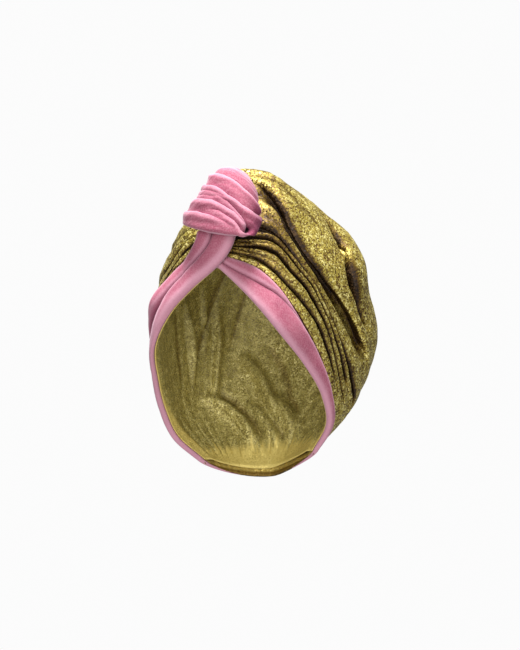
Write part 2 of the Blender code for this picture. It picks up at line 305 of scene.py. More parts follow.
# Wrinkles: height, size across and along, and seed.
LINING_SWELLS = ((1.2, (13, 70), 2),)
LINING_CREPE = ((0.35, (4, 14), 5),)
FOLD_DEPTH = 3.25
# A single fold's sharp side is this share of its width, and all lie flat at the hem.
SHARP_SIDE = 0.4
FOLDS_END = (0.93, 0.975)
# Single folds of the lining: from t and share, to t and share, half width and height,
# where a fold of positive height stands into the hollow.
LINING_FOLDS = (
    (0.54, 0.800, 0.76, 0.860, 4.0, -2.4),
    (0.78, 0.815, 0.56, 0.765, 5.5, 2.6),
    (0.52, 0.590, 0.74, 0.770, 3.6, -2.8),
    (0.72, 0.740, 0.58, 0.700, 5.0, 1.6),
    (0.62, 0.580, 0.76, 0.660, 3.0, -1.8),
    (0.86, 0.735, 0.66, 0.680, 7.0, 2.2),
    (0.80, 0.620, 0.90, 0.500, 6.5, 3.2),
    (0.88, 0.540, 0.94, 0.330, 6.5, 3.2),
    (0.78, 0.560, 0.88, 0.450, 4.0, -1.8),
    (0.87, 0.480, 0.93, 0.360, 3.4, -2.6),
    (0.85, 0.760, 0.96, 0.555, 6.0, 3.2),
    (0.85, 0.715, 0.96, 0.520, 4.0, -2.4),
    (0.89, 0.610, 0.97, 0.400, 5.5, 2.8),
    (0.91, 0.540, 0.97, 0.370, 3.0, -2.8),
    (0.30, 0.450, 0.64, 0.600, 6.0, 2.0),
    (0.35, 0.350, 0.85, 0.350, 7.0, -1.6),
    (0.30, 0.220, 0.85, 0.220, 7.0, 1.6),
)
# The hem's gathers: their height, where they rise and where they are pressed flat.
HEM_PLEATS = 13
HEM_GATHERS = 37
HEM_DEPTH = 1.5
HEM_RISE = (0.87, 0.955)
HEM_FALL = (0.962, 0.976)
# The smooth satin facing beside the left and the right edge: its width at the top, how much
# wider it grows, and between which sections. At the hem it begins at this section.
LEFT_FACING = (2.0, 3.0, 0.62, 0.92)
RIGHT_FACING = (2.5, 11.0, 0.66, 0.94)
SATIN_HEM = 0.956
SATIN_HEM_RIPPLE = ((0.018, (9, 1), 6),)


def hem_gather(shares):
    """The gathers that the elastic draws the hem into: uneven pleats with fine ones between."""
    wander = 2.8 * np.sin(7 * shares + 1) + 1.3 * np.sin(19 * shares + 4)
    pleats = 2 * np.abs(np.sin(np.pi * HEM_PLEATS * shares + wander))**0.6 - 1
    fine = np.sin(2 * np.pi * HEM_GATHERS * shares + 3 * wander)
    return pleats * (0.75 + 0.25 * np.sin(23 * shares)) + 0.12 * fine


def facing_width(facing, t):
    """How wide a facing is at section t."""
    width, wider, start, full = facing
    return width + wider * ease(start, full, t)


lining_points, satin_mark, shade_mark = [], [], []
for t in np.linspace(*LINING_SPAN, LINING_GRID[0]):
    length = arch(float(t))[1][-1]
    shares = np.linspace(LINING_EDGE / length, 1 - LINING_EDGE / length, LINING_GRID[1])
    from_edge = np.minimum(shares, 1 - shares) * length - LINING_EDGE
    hang = ease(0, LINING_REACH, from_edge)
    loose = hang * (1 - ease(*FOLDS_END, t))
    folds = strokes(t, shares, LINING_FOLDS)
    soft = wrinkles(shares * FORM_GIRTH, t * FORM_RUN, LINING_SWELLS)
    fine = wrinkles(shares * FORM_GIRTH, t * FORM_RUN, LINING_CREPE)
    gathers = HEM_DEPTH * hem_gather(shares) * ease(*HEM_RISE, t) * (1 - ease(*HEM_FALL, t))
    depth = LINING_SEAM + (LINING_DEPTH - LINING_SEAM) * hang
    push = np.clip((FOLD_DEPTH * folds + soft + fine) * loose, -LINING_EASE, None)
    push = push + gathers * hang**0.5
    lining_points.append(cloth_points(t, shares, -depth - push - LINING_EASE * hang))
    # The folds' hollows get painted shade.
    relief = (FOLD_DEPTH * folds + soft) * loose / 3 + 0.7 * gathers * hang
    shade_mark.append(ease(0.1, 1.4, -relief))
    facing = np.where(shares > 0.5, facing_width(RIGHT_FACING, t), facing_width(LEFT_FACING, t))
    hem_line = SATIN_HEM + wrinkles(shares * FORM_GIRTH, 0.0, SATIN_HEM_RIPPLE)
    satin_mark.append(np.maximum(1 - ease(0.6 * facing, 1.2 * facing, from_edge),
                                 ease(hem_line - 0.008, hem_line + 0.010, t)))
lining = cloth_sheet("lining_cloth", lining_points, LINING_WALL,
                     {"satin": satin_mark, "shade": shade_mark})

SATIN_COLOUR = (0.74, 0.58, 0.16, 1)
foil_flakes = flake_group()
lining_lame, tree, shader, colour = new_lame("lining_lame", {
    "Flakes per metre": 1100.0,
    "Dark": (0.21, 0.165, 0.042, 1),
    "Middle": (0.46, 0.38, 0.105, 1),
    "Bright": (0.78, 0.68, 0.27, 1),
    "Dark share": 0.35,
    "Bright share": 0.25,
    "Tilt": 0.5,
}, metallic=0.25, roughness=0.5)
# Painted shade: the lining's colour is darkened in the folds' hollows.
shade = mix_colours(tree, mark_value(tree, "shade"), (1, 1, 1, 1), (0.60, 0.54, 0.42, 1))
feed(tree, shader, {"Base Color": mix_colours(tree, 1.0, colour, shade, "MULTIPLY")})
lining.data.materials.append(lining_lame)
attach(lining, "root")
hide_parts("lining")


# The crown: one strip of gold lamé, a knit with foil flakes, pleated into the knot, swept
# over the head and gathered again at the nape. Its folds roll over one another, and two
# wide ones drape down the wearer's left side.

CROWN_WALL = 0.8
CROWN_ROWS = 176
# Each crease is the low line between two folds: its place as a share of the arch at nine
# sections, and the section at which it dies out.
FOLD_SECTIONS = (0.04, 0.15, 0.22, 0.30, 0.40, 0.50, 0.60, 0.75, 0.97)
CREASES = (
    ((0.072, 0.080, 0.077, 0.071, 0.060, 0.048, 0.038, 0.026, 0.030), 1.20),
    ((0.100, 0.107, 0.103, 0.091, 0.087, 0.080, 0.064, 0.046, 0.060), 0.72),
    ((0.135, 0.150, 0.148, 0.130, 0.116, 0.098, 0.078, 0.062, 0.100), 0.80),
    ((0.170, 0.182, 0.172, 0.148, 0.129, 0.108, 0.091, 0.080, 0.140), 0.76),
    ((0.245, 0.218, 0.195, 0.165, 0.137, 0.117, 0.104, 0.101, 0.190), 0.86),
    ((0.450, 0.315, 0.247, 0.200, 0.170, 0.161, 0.160, 0.160, 0.260), 0.71),
    ((0.580, 0.470, 0.420, 0.372, 0.302, 0.215, 0.180, 0.205, 0.350), 0.64),
    ((0.620, 0.560, 0.520, 0.470, 0.400, 0.340, 0.300, 0.300, 0.440), 0.85),
    ((0.660, 0.640, 0.615, 0.580, 0.530, 0.470, 0.425, 0.400, 0.520), 0.90),
    ((0.700, 0.705, 0.695, 0.680, 0.640, 0.590, 0.550, 0.515, 0.585), 0.90),
    ((0.735, 0.760, 0.762, 0.760, 0.735, 0.698, 0.665, 0.630, 0.650), 0.90),
    ((0.765, 0.805, 0.815, 0.820, 0.808, 0.788, 0.765, 0.725, 0.710), 0.90),
    ((0.790, 0.835, 0.846, 0.855, 0.858, 0.852, 0.840, 0.808, 0.775), 0.90),
    ((0.810, 0.857, 0.872, 0.885, 0.898, 0.905, 0.905, 0.885, 0.840), 0.90),
    ((0.835, 0.875, 0.892, 0.910, 0.930, 0.950, 0.960, 0.972, 0.970), 1.20),
)
# Each fold stands between two creases. puffs is its height at nine sections, and at five
# sections crest is the place of its top as a share of its width, gap the flat strip before
# the next crease, and lean how far its near side hangs over its crease. over is 1 where it
# rolls to the left and -1 where it rolls to the right, edge how square its far side is,
# shade how high the painted shade of the crease climbs its near side, pleats how many fine
# pleats it takes in at the knot, shade_tone how much painted shade lies over all of it,
# and strips its strips of mesh.
SHAPE_SECTIONS = (0.06, 0.22, 0.38, 0.55, 0.75)
FOLD_COLUMNS = ("puffs", "crest", "gap", "lean", "over", "edge", "shade", "pleats", "shade_tone",
                "strips")
FOLDS = (
    ((1.2, 3.0, 3.5, 3.8, 3.8, 3.5, 3.0, 1.6, 0.6), 0.45, 0.4, 1.2, 1, 0.0, 0.80, 1,
     (0.42, 0.28, 0.12, 0.05, 0.0), 16),
    ((1.6, 4.4, 5.2, 5.2, 5.0, 4.6, 4.0, 2.2, 0.6), 0.40, 1.0, 1.8, 1, 0.0, 1.02, 2,
     (0.50, 0.38, 0.22, 0.10, 0.0), 20),
    ((1.6, 4.4, 5.0, 5.4, 5.4, 5.2, 4.6, 2.6, 0.8), 0.40, 1.0, 1.8, 1, 0.0, 1.02, 2,
     (0.55, 0.48, 0.28, 0.12, 0.0), 17),
    ((1.6, 4.4, 4.6, 5.2, 5.6, 5.6, 5.4, 3.8, 1.2), 0.40, (6.5, 6.0, 1.8, 1.0, 3.5), 1.4, 1, 0.0,
     1.02, 2, (0.75, 0.60, 0.30, 0.12, 0.0), 18),
    ((2.0, 5.6, 5.4, 5.0, 5.0, 5.2, 5.0, 5.6, 1.6), (0.60, 0.50, 0.35, 0.22, 0.30),
     (3.0, 9.5, 8.5, 9.0, 4.0), (3.0, 3.2, 1.8, 1.8, 1.8), 1, 0.0, 1.02, 2,
     (0.50, 0.50, 0.40, 0.10, 0.0), 26),
    ((3.0, 9.0, 8.0, 7.2, 8.8, 11.5, 11.0, 9.0, 1.6), (0.35, 0.42, 0.40, 0.45, 0.50),
     (0.5, 0.5, 3.5, 6.0, 1.0), (1.0, 3.5, 4.0, 3.6, 1.0), 1, 1.0, (1.00, 1.00, 0.95, 0.75, 0.85),
     2, (0.45, 0.12, 0.0, 0.0, 0.0), 34),
    ((3.0, 6.0, 5.4, 5.0, 8.8, 18.8, 13.4, 11.5, 1.6), (0.45, 0.45, 0.32, 0.32, 0.45),
     0.5, (1.0, 2.0, 2.5, 2.5, 1.0), 1, 0.3, (0.6, 0.6, 0.98, 1.0, 0.6), 2,
     (0.30, 0.0, 0.0, 0.0, 0.0), 32),
    ((2.5, 6.5, 6.0, 6.0, 7.5, 10.0, 10.0, 6.5, 1.6), 0.45, 0.5, 2.5, 1, 0.0, 0.80, 1, 0.0, 16),
    ((2.5, 6.5, 7.0, 7.0, 8.0, 9.5, 9.5, 7.5, 1.6), 0.50, 0.5, 0.5, 1, 0.0, 0.50, 1, 0.0, 13),
    ((2.5, 7.5, 8.5, 9.0, 9.0, 9.0, 9.0, 8.0, 2.0), 0.45, 0.5, 2.5, -1, 0.0, 0.80, 1, 0.0, 13),
    ((2.0, 8.6, 8.2, 7.0, 7.0, 8.0, 9.0, 8.0, 2.0), 0.45, 0.5, 2.5, -1, 0.0, 0.80, 1, 0.0, 14),
    ((3.0, 7.0, 5.0, 3.8, 4.0, 5.0, 6.0, 6.0, 2.0), 0.45, 0.5, 2.2, -1, 0.0, 0.90, 2, 0.05, 14),
    ((1.4, 3.8, 3.8, 2.4, 2.4, 3.0, 4.0, 5.0, 2.0), 0.45, 0.5, 1.8, -1, 0.0, 0.90, 2, 0.15, 13),
    ((0.4, 1.2, 1.8, 1.8, 1.8, 2.0, 2.5, 3.0, 1.5), 0.45, 0.5, 1.4, -1, 0.0, 0.80, 1, 0.30, 12),
)
# The two sides of a fold's section. Each row is a place on its mesh, and there its share
# of the way and of the height on a soft side and on a steep one, and how far it leans.
NEAR_SIDE = (
    (0.00, 0.00, 0.00, 0.00, 0.00, 0.00),
    (0.09, 0.12, 0.22, 0.00, 0.14, 0.25),
    (0.18, 0.28, 0.46, 0.00, 0.40, 0.75),
    (0.28, 0.45, 0.68, 0.03, 0.67, 1.00),
    (0.38, 0.65, 0.86, 0.22, 0.88, 0.75),
    (0.55, 1.00, 1.00, 1.00, 1.00, 0.00),
)
FAR_SIDE = (
    (0.55, 0.00, 1.00, 0.00, 1.00, 0.00),
    (0.67, 0.30, 0.93, 0.42, 0.87, 0.00),
    (0.78, 0.60, 0.66, 0.82, 0.66, 0.30),
    (0.86, 0.84, 0.28, 0.98, 0.40, 1.00),
    (0.92, 1.00, 0.00, 1.00, 0.08, 0.60),
    (1.00, 1.00, 0.00, 1.00, 0.00, 0.00),
)
CREST_STRIP = 0.55
FLOOR_STRIP = 0.92
# A side that leans this far is as steep as can be, and a square far side tucks in this far.
STEEP_LEAN = 2.5
EDGE_TAIL = 2.5
# A gap, a crest with its gap, and a lean take up no more than these shares of a fold.
MOST_GAP, MOST_CREST, MOST_LEAN = 0.6, 0.9, 0.4
CREASE_FADE = 0.045
CREASE_SWAY = 0.9
# A bridge is where the cloth closes a crease: the crease, its section, half its length and
# how far it closes.
BRIDGES = (
    (5, 0.070, 0.050, 1.0),
    (6, 0.330, 0.065, 1.0),
    (6, 0.460, 0.016, 0.75),
)
# The fine pleats at the knot: their height, where they end, and how dark the painted shade
# in the lines between them is.
PLEAT_HEIGHT = 2.6
PLEAT_END = 0.44
PLEAT_DARK = 0.5
# A fold's far side gets painted shade up to this share of its height, and the shade fades
# over this step. The painted shade in the creases of folds lower than this and on the
# floor of a wide gap is paler.
FAR_DARK = 0.5
DARK_STEP = 0.3
DARK_PUFF = 4.5
FLOOR_LIGHT = 0.6
CROWN_WRINKLES = ((0.55, (5, 45), 11), (0.9, (14, 38), 12), (0.25, (3, 9), 13))
# The crown's lower edge blouses over the casing: places down the mesh, and there the
# section and the share of the folds' height.
HEM_ROLL = (
    (0.00, 0.012, 1.00),
    (0.90, 0.930, 1.00),
    (0.93, 0.955, 0.95),
    (0.95, 0.966, 0.80),
    (0.965, 0.967, 0.50),
    (0.98, 0.960, 0.15),
    (1.00, 0.9735, 0.00),
)
HEM_STAND = 0.3


def at_section(sections, values, t):
    """A table's value at section t, where it has one for each section, or its only one."""
    if not isinstance(values, tuple):
        return values
    return smooth(sections, values, np.clip(t, sections[0], sections[-1]))


def fold_shape(count, crest, gap, steep, edge):
    """The way across a fold, its height, near lean and far lean at each strip."""
    strip = np.arange(count) / count
    near = strip < CREST_STRIP
    sides = []
    for table, bend in ((NEAR_SIDE, steep), (FAR_SIDE, edge)):
        places, *rows = zip(*table)
        soft_way, soft_height, steep_way, steep_height, lean = (
            smooth(places, row, strip) for row in rows)
        sides.append(((1 - bend) * soft_way + bend * steep_way,
                      (1 - bend) * soft_height + bend * steep_height, lean))
    (near_way, near_height, lean), (far_way, far_height, tail) = sides
    floor = np.clip((strip - FLOOR_STRIP) / (1 - FLOOR_STRIP), 0, 1)
    way = np.where(near, crest * near_way, crest + (1 - gap - crest) * far_way) + gap * floor
    height = np.where(near, near_height, far_height)
    return way.clip(0, 1), height.clip(0, 1), lean * near, tail * ~near


def hump(values, middle, width):
    """1 at middle, and dying out on both sides of it."""
    return np.exp(-((values - middle) / width)**2)


def crown_row(t):
    """Places, heights, slips and painted crease shade of the crown's cloth across section t."""
    folds = columns(FOLD_COLUMNS, FOLDS)
    crease_places, crease_ends = zip(*CREASES)
    length = arch(float(t))[1][-1]
    lines = [at_section(FOLD_SECTIONS, row, t) for row in crease_places]
    for i in range(1, len(lines) - 1):
        sway = noise.noise((7 * t, 1.7 * i, 3.0)) + 0.5 * noise.noise((19 * t, i, 8.0))
        lines[i] += CREASE_SWAY * sway / length
    puffs = [at_section(FOLD_SECTIONS, row, t) for row in folds["puffs"]]
    depths = [1 - ease(end - CREASE_FADE, end + CREASE_FADE, t) for end in crease_ends]
    for crease, middle, half, closed in BRIDGES:
        depths[crease] *= 1 - closed * hump(t, middle, half)
    levels = [0.0] + [(1 - depth) * (first + second) / 2
                      for depth, first, second in zip(depths[1:-1], puffs[:-1], puffs[1:])] + [0.0]
    gathered = 1 - ease(0.02, PLEAT_END, t)
    shares, heights, slips, marks = [], [], [], []
    for i, count in enumerate(folds["strips"]):
        over = folds["over"][i]
        crest, gap, lean, shade, shade_tone = (
            at_section(SHAPE_SECTIONS, folds[name][i], t)
            for name in ("crest", "gap", "lean", "shade", "shade_tone"))
        width = (lines[i + 1] - lines[i]) * length
        gap = min(gap / width, MOST_GAP)
        crest = min(crest, MOST_CREST - gap)
        lean = min(lean, MOST_LEAN * width)
        way, height, near, far = fold_shape(count, crest, gap, min(lean / STEEP_LEAN, 1.0),
                                            folds["edge"][i])
        if over < 0:
            way, height, near, far = 1 - way[::-1], height[::-1], near[::-1], far[::-1]
        foot, head = (i, i + 1) if over > 0 else (i + 1, i)
        level = levels[i] + (levels[i + 1] - levels[i]) * way
        drift = 0.5 * noise.noise((9 * t, 5.3 * i, 1.0))
        pleat_run = (folds["pleats"][i] + 0.5) * way + drift * way * (1 - way) * 4
        pleat = np.abs(np.sin(np.pi * pleat_run))
        between = (1 - ease(0.15, 0.65, pleat)) * ease(0.0, 0.4, gathered)
        pleat = (pleat**0.8 - 0.5) * PLEAT_HEIGHT * gathered
        shares.append(lines[i] + (lines[i + 1] - lines[i]) * way)
        heights.append(level + (puffs[i] - level) * height + pleat * height**0.5)
        slips.append(over * (EDGE_TAIL * folds["edge"][i] * far * depths[head]
                             - lean * near * depths[foot]))
        depth = depths[foot] + (depths[head] - depths[foot]) * np.abs(way - (over < 0))
        near_side = np.abs(way - (over < 0)) < crest
        # Painted shade of the crease: up the near side, low on the far side, paler on a wide gap's
        # floor, and in the lines between the pleats.
        high = np.where(near_side, shade, FAR_DARK)
        dark = 1 - ease(high - DARK_STEP, high, height)
        floor = FLOOR_LIGHT * ease(4, 8, gap * width) * ease(0.42, 0.55, t) * (height < 0.1)
        full = min(0.5 + 0.5 * puffs[i] / DARK_PUFF, 1.0)
        mark = dark * depth * full * (1 - floor) + PLEAT_DARK * between
        # The fold's own painted shade is laid over the painted shade of its crease.
        marks.append(1 - (1 - mark.clip(0, 1)) * (1 - shade_tone))
    # Its last point, at the right band, gets painted shade too.
    rim = (lines[-1], 0.0, 0.0, 0.6)
    return [np.append(np.concatenate(parts), last)
            for parts, last in zip((shares, heights, slips, marks), rim)]


crown_points, crease_shade_mark = [], []
hem_rows, hem_sections, hem_heights = zip(*HEM_ROLL)
for row in np.linspace(0, 1, CROWN_ROWS):
    t = float(np.interp(row, hem_rows, hem_sections))
    stand = float(smooth(hem_rows, hem_heights, row))
    shares, heights, slips, marks = crown_row(t)
    wrinkle = wrinkles(shares * FORM_GIRTH, t * FORM_RUN, CROWN_WRINKLES)
    middle = np.sin(np.pi * (shares - shares[0]) / (shares[-1] - shares[0])).clip(0, 1)
    blouse = HEM_STAND * ease(0.80, 0.94, t) * middle**0.3
    heights = (heights + wrinkle * ease(0.3, 2.5, heights) + blouse) * np.clip(stand, 0, 1)
    crown_points.append(cloth_points(t, shares, heights, slips))
    # Painted shade where the crown's lower edge rolls under onto the casing.
    crease_shade_mark.append(np.maximum(marks, 1 - ease(0.1, 0.6, stand)))
crown = cloth_sheet("crown_cloth", crown_points, CROWN_WALL,
                    {"crease": np.clip(crease_shade_mark, 0, 1)})

gold_lame, tree, shader, colour = new_lame("gold_lame", {
    "Flakes per metre": 850.0,
    "Dark": (0.10, 0.05, 0.010, 1),
    "Middle": (0.48, 0.375, 0.066, 1),
    "Bright": (0.95, 0.84, 0.32, 1),
    "Dark share": 0.40,
    "Bright share": 0.33,
    "Tilt": 0.42,
}, metallic=0.6, roughness=0.48)
crease = mark_value(tree, "crease")
# In the creases the foil gets painted shade, first olive brown with its flakes and then black.
shade = mix_colours(tree, step_value(tree, crease, 0.05, 0.75), (1, 1, 1, 1),
                    (0.29, 0.215, 0.09, 1))
shade = mix_colours(tree, step_value(tree, crease, 0.62, 0.95), shade, (0.07, 0.04, 0.03, 1))
feed(tree, shader, {"Base Color": mix_colours(tree, 1.0, colour, shade, "MULTIPLY")})
crown.data.materials.append(gold_lame)
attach(crown, "root")
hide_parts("crown")


# The nape casing: the strip's lower edge turned in over elastic and stitched, so that it
# closes the opening behind the neck. Its inner side is smooth satin, drawn into gathers.

CASING_SPAN = (0.9735, 1.0)
CASING_ENDS = (0.012, 0.988)
CASING_GRID = (26, 300)
CASING_SQUARENESS = 0.5
# Outside and inside: how far it stands off the form, and how high its gathers are. At its
# ends it is only this share as thick.
CASING_OUTSIDE = (1.2, 0.2)
CASING_INSIDE = (2.4, 0.35)
CASING_END_SIZE = 0.3

shares = np.linspace(*CASING_ENDS, CASING_GRID[1])
fullness = CASING_END_SIZE + (1 - CASING_END_SIZE) * np.sin(np.pi * shares)**0.4
casing_points, satin_mark, shade_mark = [], [], []
for turn in np.linspace(0, np.pi, CASING_GRID[0]):
    facing = np.cos(turn)
    square = np.sign(facing) * abs(facing)**CASING_SQUARENESS
    size, wave = CASING_OUTSIDE if facing > 0 else CASING_INSIDE
    t = CASING_SPAN[0] + (CASING_SPAN[1] - CASING_SPAN[0]) * np.sin(turn)**CASING_SQUARENESS
    casing_points.append(cloth_points(
        t, shares, square * (size * fullness) + abs(square) * wave * hem_gather(shares)))
    satin_mark.append(np.full(shares.shape, float(facing < -0.3)))
    # Painted shade: darkest on its lower edge, lighter on its outside, none on its satin inside.
    shade_mark.append(np.full(shares.shape, 0.7 * ease(-0.95, -0.70, facing)
                              * (1 - 0.6 * ease(0.1, 0.5, facing))))
casing = cloth_sheet("nape_casing_cloth", casing_points, CROWN_WALL,
                     {"satin": satin_mark, "crease": shade_mark})
casing.data.materials.append(gold_lame)
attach(casing, "root")
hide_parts("nape_casing")


# The face bands: strips of pink velvet, doubled over and soft inside, sewn to the opening.
# Each is twisted once, so that an outer roll lies beside an inner one and dies out beyond
# the temple. The right band crosses over the left one and runs up into the knot.

BAND_SPAN = (0.01, 0.982)
BAND_STATIONS = 240
BAND_BACK = 2.0
SEAM_GAP = 0.35
OUTER_POINTS = 20
INNER_POINTS = 24
BACK_POINTS = 6
# How pale the painted sheen makes the pile, and how far from the inner edge, the outer edge
# and the outer roll's lip it lies, and how wide.
EDGE_SHEEN = 1.5
INNER_SHEEN = (0.0, 3.4)
OUTER_SHEEN = (0.0, 2.6)
LIP_SHEEN = (1.5, 1.8)
BAND_SECTIONS = (0.0, 0.14, 0.24, 0.32, 0.40, 0.50, 0.75, 1.0)
BAND_COLUMNS = ("crease", "outer", "inner", "overlap")
# crease is the share of the width at which the two rolls meet, outer and inner are their
# thicknesses, and overlap is how far the outer roll lies over the inner one.
BAND_LEFT = (
    (0.40, 3.4, 3.4, 1.0),
    (0.46, 5.0, 4.0, 2.2),
    (0.61, 5.4, 4.2, 2.6),
    (0.79, 4.2, 4.6, 2.0),
    (0.90, 2.2, 4.6, 0.8),
    (0.98, 1.2, 4.4, 0.0),
    (0.98, 1.0, 4.2, 0.0),
    (0.98, 0.8, 2.0, 0.0),
)
BAND_RIGHT = (
    (0.55, 4.4, 4.4, 0.0),
    (0.55, 6.0, 6.5, 0.8),
    (0.52, 8.5, 7.0, 1.5),
    (0.52, 11.8, 5.4, 2.4),
    (0.74, 5.6, 2.8, 1.2),
    (0.95, 1.4, 2.8, 0.0),
    (0.98, 1.0, 4.2, 0.0),
    (0.98, 0.8, 2.4, 0.0),
)
# Behind the temples both bands turn the lower corners and die out along the casing.
TAIL_STATIONS = 24
TAIL_CORNER = 0.35
TAIL_LENGTH = 34.0
TAIL_THINNING = 0.75


def roll_piece(name, loops, marks):
    """A closed roll of cloth through closed sections, capped at both ends."""
    loops = np.array(loops)
    spot = np.arange(loops[..., 0].size).reshape(loops.shape[:2])
    beside = np.roll(spot, -1, axis=1)
    faces = np.stack([spot[:-1], beside[:-1], beside[1:], spot[1:]], axis=-1).reshape(-1, 4)
    ends = [spot[0].tolist(), spot[-1].tolist()]
    piece = new_piece(name, loops, faces.tolist() + ends, marks)
    bm = bmesh.new()
    bm.from_mesh(piece.data)
    bmesh.ops.recalc_face_normals(bm, faces=bm.faces)
    bm.to_mesh(piece.data)
    bm.free()
    return piece


def band_section(t, side):
    """The left (1) or right (-1) band's width at t, and places, painted shade and sheen round it.
    """
    rows = columns(BAND_COLUMNS, BAND_LEFT if side > 0 else BAND_RIGHT)
    crease, outer, inner, overlap = (smooth(BAND_SECTIONS, rows[name], t)
                                     for name in BAND_COLUMNS)
    crease = min(crease, 0.985)
    edge = at_section(FOLD_SECTIONS, CREASES[0 if side > 0 else -1][0], t)
    width = (edge if side > 0 else 1 - edge) * arch(float(t))[1][-1] - SEAM_GAP
    turn = np.linspace(0, np.pi, OUTER_POINTS, endpoint=False)
    outer_place = width * (crease + (1 - crease) * (1 + np.cos(turn)) / 2)
    outer_place -= overlap * np.sin(turn)**0.8 * ease(0.5, 1.0, turn / np.pi)
    outer_height = outer * np.sin(turn)**0.6
    turn = np.linspace(0, np.pi, INNER_POINTS)
    inner_place = width * (crease * (1 + np.cos(turn)) / 2) - 0.06 * width * (turn / np.pi)**3
    inner_height = inner * np.sin(turn)**0.55
    outer_height[0] = -0.3
    inner_height[0] = 0.15
    inner_height[-1] = -0.6
    back = np.linspace(0.02, 0.97, BACK_POINTS)
    places = np.concatenate([outer_place, inner_place, width * back])
    heights = np.concatenate([outer_height, inner_height, np.full(BACK_POINTS, -BAND_BACK)])
    low = np.concatenate([1 - outer_height / outer, 1 - inner_height / inner,
                          np.zeros(BACK_POINTS)])
    # Painted shade along the crease, where the outer roll laps over the inner one.
    near = 1 - ease(0.5, 4.5, np.abs(places - width * crease))
    marks = low.clip(0, 1) * near * ease(1.2, 3.0, outer)
    # Painted sheen: the pile is paler on the inner and outer edges and on the outer roll's lip.
    lip = hump(places - width * crease, *LIP_SHEEN) * (np.arange(len(places)) < OUTER_POINTS)
    painted_sheen = np.maximum(hump(places, *INNER_SHEEN), hump(width - places, *OUTER_SHEEN))
    return width, places, heights, marks, EDGE_SHEEN * np.maximum(painted_sheen, 0.8 * lip)


def band_loop(t, side):
    """The closed section of a face band at t, its painted crease shade and painted edge sheen."""
    _, places, heights, marks, painted_sheen = band_section(t, side)
    soft = wrinkles(places, t * FORM_RUN,
                    ((0.35, (6, 30), 20 + side), (0.15, (2.5, 9), 21 + side)))
    heights = heights + np.where(heights > 0.5, soft, 0.0)
    length = arch(float(t))[1][-1]
    shares = places / length if side > 0 else 1 - places / length
    return cloth_points(t, shares, heights), marks, painted_sheen


def band_tail(way, side):
    """A section of a band's tail, which turns the corner and dies out on the casing."""
    width, places, heights, marks, painted_sheen = band_section(BAND_SPAN[1], side)
    turn = np.pi / 2 * min(way / TAIL_CORNER, 1.0)
    thin = 1 - TAIL_THINNING * way
    reach = (1 - BAND_SPAN[1]) * FORM_RUN
    size = (width + (reach - width) * np.sin(turn)) * thin
    pivot = BAND_SPAN[1] * FORM_RUN + reach * (1 - thin) * np.sin(turn)
    from_pivot = 1 - places / width
    along = np.clip((pivot + from_pivot * size * np.sin(turn)) / FORM_RUN, 0, 1)
    inward = width - from_pivot * size * np.cos(turn)
    inward = inward + TAIL_LENGTH * max(way - TAIL_CORNER, 0) / (1 - TAIL_CORNER)
    points = []
    for t, place, height in zip(along, inward, heights * thin):
        share = place / arch(float(t))[1][-1]
        points.append(cloth_points(t, [share if side > 0 else 1 - share], [height])[0])
    return np.array(points), marks, painted_sheen


# From this section the right band leaves the opening's edge and crosses over to the knot,
# where its inner and outer edges end at these points. Two thirds of the way they swing out
# most, this far.
CROSSING_FROM = 0.15
CROSSING_INNER = (27.0, -98.0, -58.0)
CROSSING_OUTER = (-4.5, -98.5, -54.0)
CROSSING_OUT = (0.0, -0.98, 0.20)
CROSSING_STATIONS = 60
INNER_SWING = (4.8, -2.2, -5.4)
OUTER_SWING = (3.2, -4.6, -1.6)
SWING_SCALE = 27 / 4
# The left band goes on under the crossing this far.
UNDER_CROSSING = (-8.5, -2.5, 3.5)
UNDER_STATIONS = 8


def band_run(t_from, side):
    """The loops of a band from t_from to its tail's end, their painted shade and edge sheen."""
    return zip(*[band_loop(t, side) for t in np.linspace(t_from, BAND_SPAN[1], BAND_STATIONS)],
               *[band_tail(way, side) for way in np.linspace(0, 1, TAIL_STATIONS + 1)[1:]])


def band_piece(name, lead, loops, marks, painted_sheen):
    """A band whose lead, the loops before its run, is marked as its run begins."""
    return roll_piece(name, lead + list(loops), {
        "crease": [marks[0]] * len(lead) + list(marks),
        "edge": [painted_sheen[0]] * len(lead) + list(painted_sheen),
    })


loops, marks, painted_sheen = band_run(BAND_SPAN[0], 1)
under = [loops[0] + share * np.array(UNDER_CROSSING)
         for share in np.linspace(1, 0, UNDER_STATIONS, endpoint=False)]
band_left = band_piece("band_left_velvet", under, loops, marks, painted_sheen)

loops, marks, painted_sheen = band_run(CROSSING_FROM, -1)
width, places, heights = band_section(CROSSING_FROM, -1)[:3]
across = (places / width)[:, None]
last = (np.array(CROSSING_INNER) * (1 - across) + np.array(CROSSING_OUTER) * across
        + np.array(CROSSING_OUT) * np.maximum(heights, -1.0)[:, None])
swing = np.array(INNER_SWING) * (1 - across) + np.array(OUTER_SWING) * across
crossing = [loops[0] * (1 - way) + last * way + SWING_SCALE * swing * (1 - way) * way**2
            for way in np.linspace(1, 0, CROSSING_STATIONS, endpoint=False)]
band_right = band_piece("band_right_velvet", crossing, loops, marks, painted_sheen)

pink_velvet, tree, shader = new_material("pink_velvet")
place = add_node(tree, "ShaderNodeTexCoord").outputs["Object"]
brushed = add_node(tree, "ShaderNodeTexNoise", {"Vector": place, "Scale": 45.0, "Detail": 3.0})
pile = add_node(tree, "ShaderNodeTexNoise", {"Vector": place, "Scale": 900.0, "Detail": 2.0})
stroked = step_value(tree, brushed.outputs["Fac"], 0.38, 0.62)
colour = mix_colours(tree, stroked, (0.30, 0.070, 0.114, 1), (0.36, 0.098, 0.146, 1))
fibre = step_value(tree, pile.outputs["Fac"], 0.35, 0.65)
colour = mix_colours(tree, calculate(tree, "MULTIPLY", fibre, 0.25), colour,
                     (0.62, 0.33, 0.39, 1))
